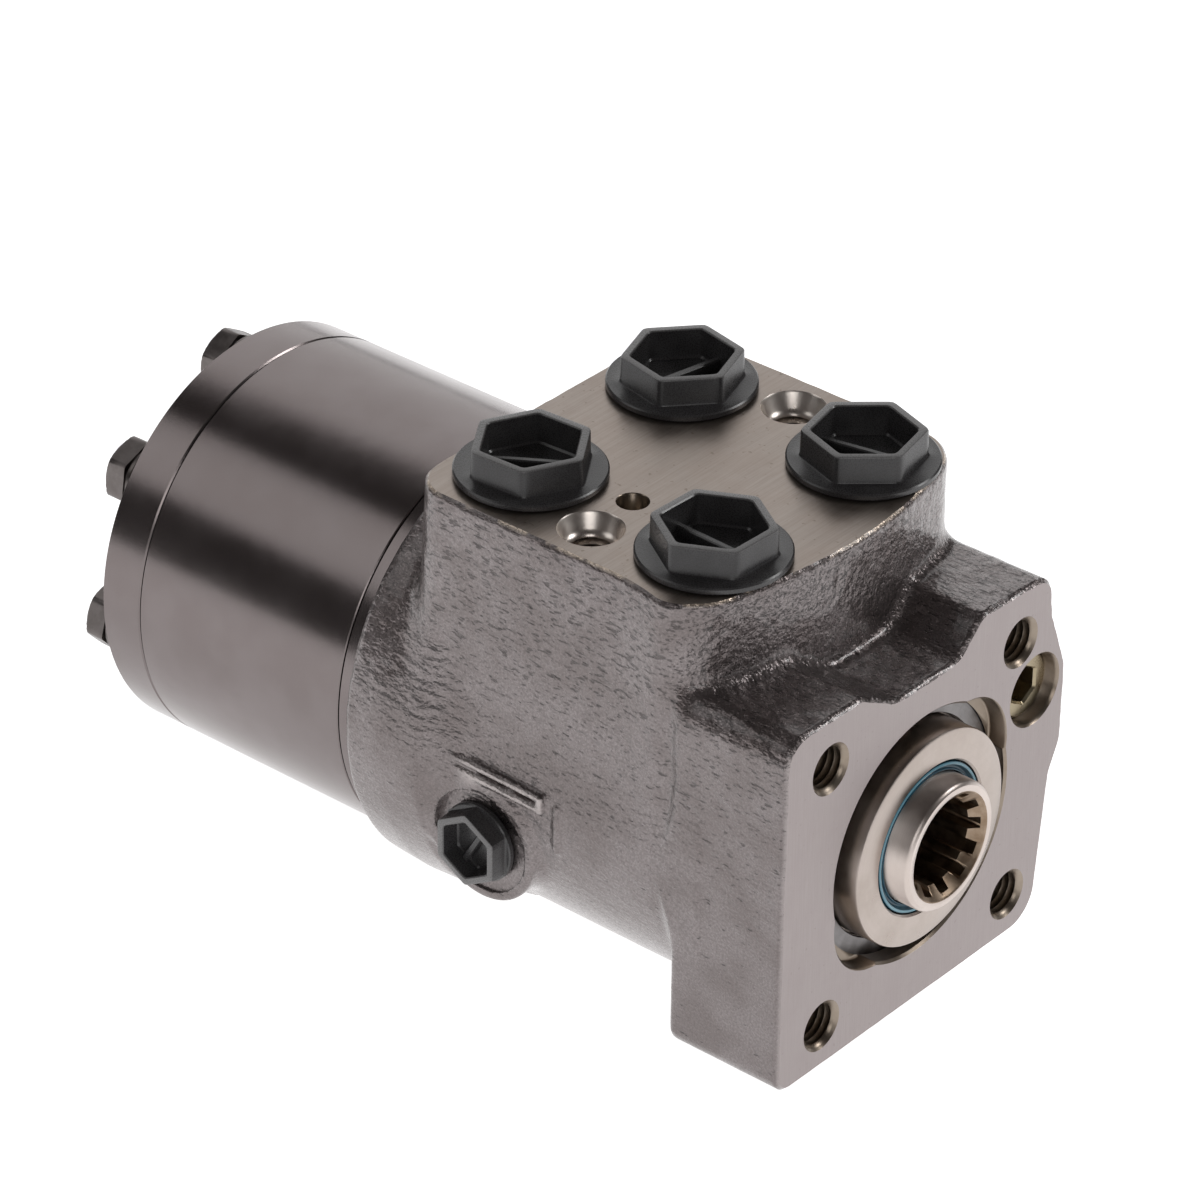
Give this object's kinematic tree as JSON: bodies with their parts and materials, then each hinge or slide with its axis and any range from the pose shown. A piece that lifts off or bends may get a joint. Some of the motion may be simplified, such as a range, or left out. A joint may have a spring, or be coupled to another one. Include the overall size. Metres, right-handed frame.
{
  "type": "hydrostatic steering control unit",
  "caption": "Hydrostatic steering unit with a cast housing, square mounting flange, splined input, capped port face and a gerotor drum closed by a bolted cover.",
  "frame": {"origin": "on the surface it stands on, under the middle of its outer box; the shaft axis is parallel to X, 0.4 mm towards +Y and 47.2 mm up", "axes": "+X along the shaft towards the steering column, out of the mounting flange; +Z out of the port face"},
  "size_m": [0.1892, 0.0952, 0.1133],
  "materials": {
    "cast_housing": "dark coated sand casting with machined faces",
    "gear_set": "ground steel, dark oiled coating",
    "zinc_bolt": "dark phosphated steel",
    "black_plastic": "moulded polyethylene",
    "gland_steel": "turned steel",
    "polished_steel": "ground steel",
    "hardened_steel": "hardened and ground steel",
    "spring_steel": "oiled spring steel",
    "black_rubber": "nitrile rubber",
    "blue_rubber": "polyurethane",
    "bronze": "turned bronze",
    "plug_steel": "yellow-olive plated steel",
    "copper": "soft copper"
  },
  "bodies": {
    "housing_body": {"housing": "cast_housing", "distributor_plate": "gear_set", "gerotor_ring": "gear_set", "end_cover": "gear_set", "cover_bolt_1": "zinc_bolt", "cover_bolt_2": "zinc_bolt", "cover_bolt_3": "zinc_bolt", "cover_bolt_4": "zinc_bolt", "cover_bolt_5": "zinc_bolt", "cover_bolt_6": "zinc_bolt", "cover_bolt_7": "zinc_bolt", "cover_washer_1": "zinc_bolt", "cover_washer_2": "zinc_bolt", "cover_washer_3": "zinc_bolt", "cover_washer_4": "zinc_bolt", "cover_washer_5": "zinc_bolt", "cover_washer_6": "zinc_bolt", "cover_washer_7": "zinc_bolt", "housing_o_ring": "black_rubber", "plate_o_ring": "black_rubber", "cover_o_ring": "black_rubber", "gland_bushing": "gland_steel", "dust_seal": "blue_rubber", "shaft_seal": "black_rubber", "gland_o_ring": "black_rubber", "retaining_ring": "spring_steel", "thrust_washer_front": "polished_steel", "relief_plug": "plug_steel", "relief_plug_seal": "copper", "relief_seat": "hardened_steel", "relief_spring": "spring_steel", "check_valve_bushing": "bronze", "port_cap_1": "black_plastic", "port_cap_2": "black_plastic", "port_cap_3": "black_plastic", "port_cap_4": "black_plastic", "side_port_cap": "black_plastic"},
    "sleeve": {"control_sleeve": "hardened_steel", "cross_pin": "polished_steel", "centring_leaf_flat_1": "spring_steel", "centring_leaf_flat_2": "spring_steel", "centring_leaf_arched_1": "spring_steel", "centring_leaf_arched_2": "spring_steel", "thrust_washer_rear": "polished_steel"},
    "spool": {"control_spool": "polished_steel"},
    "needle_cage": {"thrust_needle_cage": "bronze"},
    "orbit": {"cardan_spacer": "polished_steel"},
    "rotor": {"gerotor_rotor": "hardened_steel"},
    "cardan": {"cardan_shaft": "hardened_steel"},
    "relief": {"relief_poppet": "hardened_steel"},
    "check": {"check_ball": "polished_steel"}
  },
  "joints": [
    {"name": "sleeve_spin", "type": "hinge", "parent": "housing_body", "child": "sleeve", "pos_m": [0.0276, 0.0004, 0.0472], "axis": [1, 0, 0], "continuous": true},
    {"name": "spool_lead", "type": "hinge", "parent": "sleeve", "child": "spool", "pos_m": [0.0276, 0.0004, 0.0472], "axis": [1, 0, 0], "range_deg": [-8, 8], "stiffness_Nm_per_rad": 3},
    {"name": "rotor_orbit", "type": "hinge", "parent": "housing_body", "child": "orbit", "pos_m": [-0.05, 0.0004, 0.0472], "axis": [1, 0, 0], "continuous": true},
    {"name": "rotor_spin", "type": "hinge", "parent": "orbit", "child": "rotor", "pos_m": [-0.05, 0.0004, 0.0504], "axis": [1, 0, 0], "continuous": true},
    {"name": "cardan_spin", "type": "hinge", "parent": "orbit", "child": "cardan", "pos_m": [0.0276, 0.0004, 0.0472], "axis": [0.9987, 0, -0.0511], "continuous": true},
    {"name": "needle_cage_spin", "type": "hinge", "parent": "housing_body", "child": "needle_cage", "pos_m": [0.0727, 0.0004, 0.0472], "axis": [1, 0, 0], "continuous": true},
    {"name": "relief_lift", "type": "slide", "parent": "housing_body", "child": "relief", "axis": [1, 0, 0], "range_m": [0, 0.0015], "stiffness_N_per_m": 600, "deforming": ["relief_spring"]},
    {"name": "check_ball_lift", "type": "slide", "parent": "housing_body", "child": "check", "axis": [0, 0, 1], "range_m": [0, 0.002]}
  ],
  "couplings": [
    {"joint": "rotor_orbit", "follows": "sleeve_spin", "ratio": -6},
    {"joint": "rotor_spin", "follows": "sleeve_spin", "ratio": 7},
    {"joint": "cardan_spin", "follows": "sleeve_spin", "ratio": 7},
    {"joint": "needle_cage_spin", "follows": "sleeve_spin", "ratio": 0.5}
  ]
}
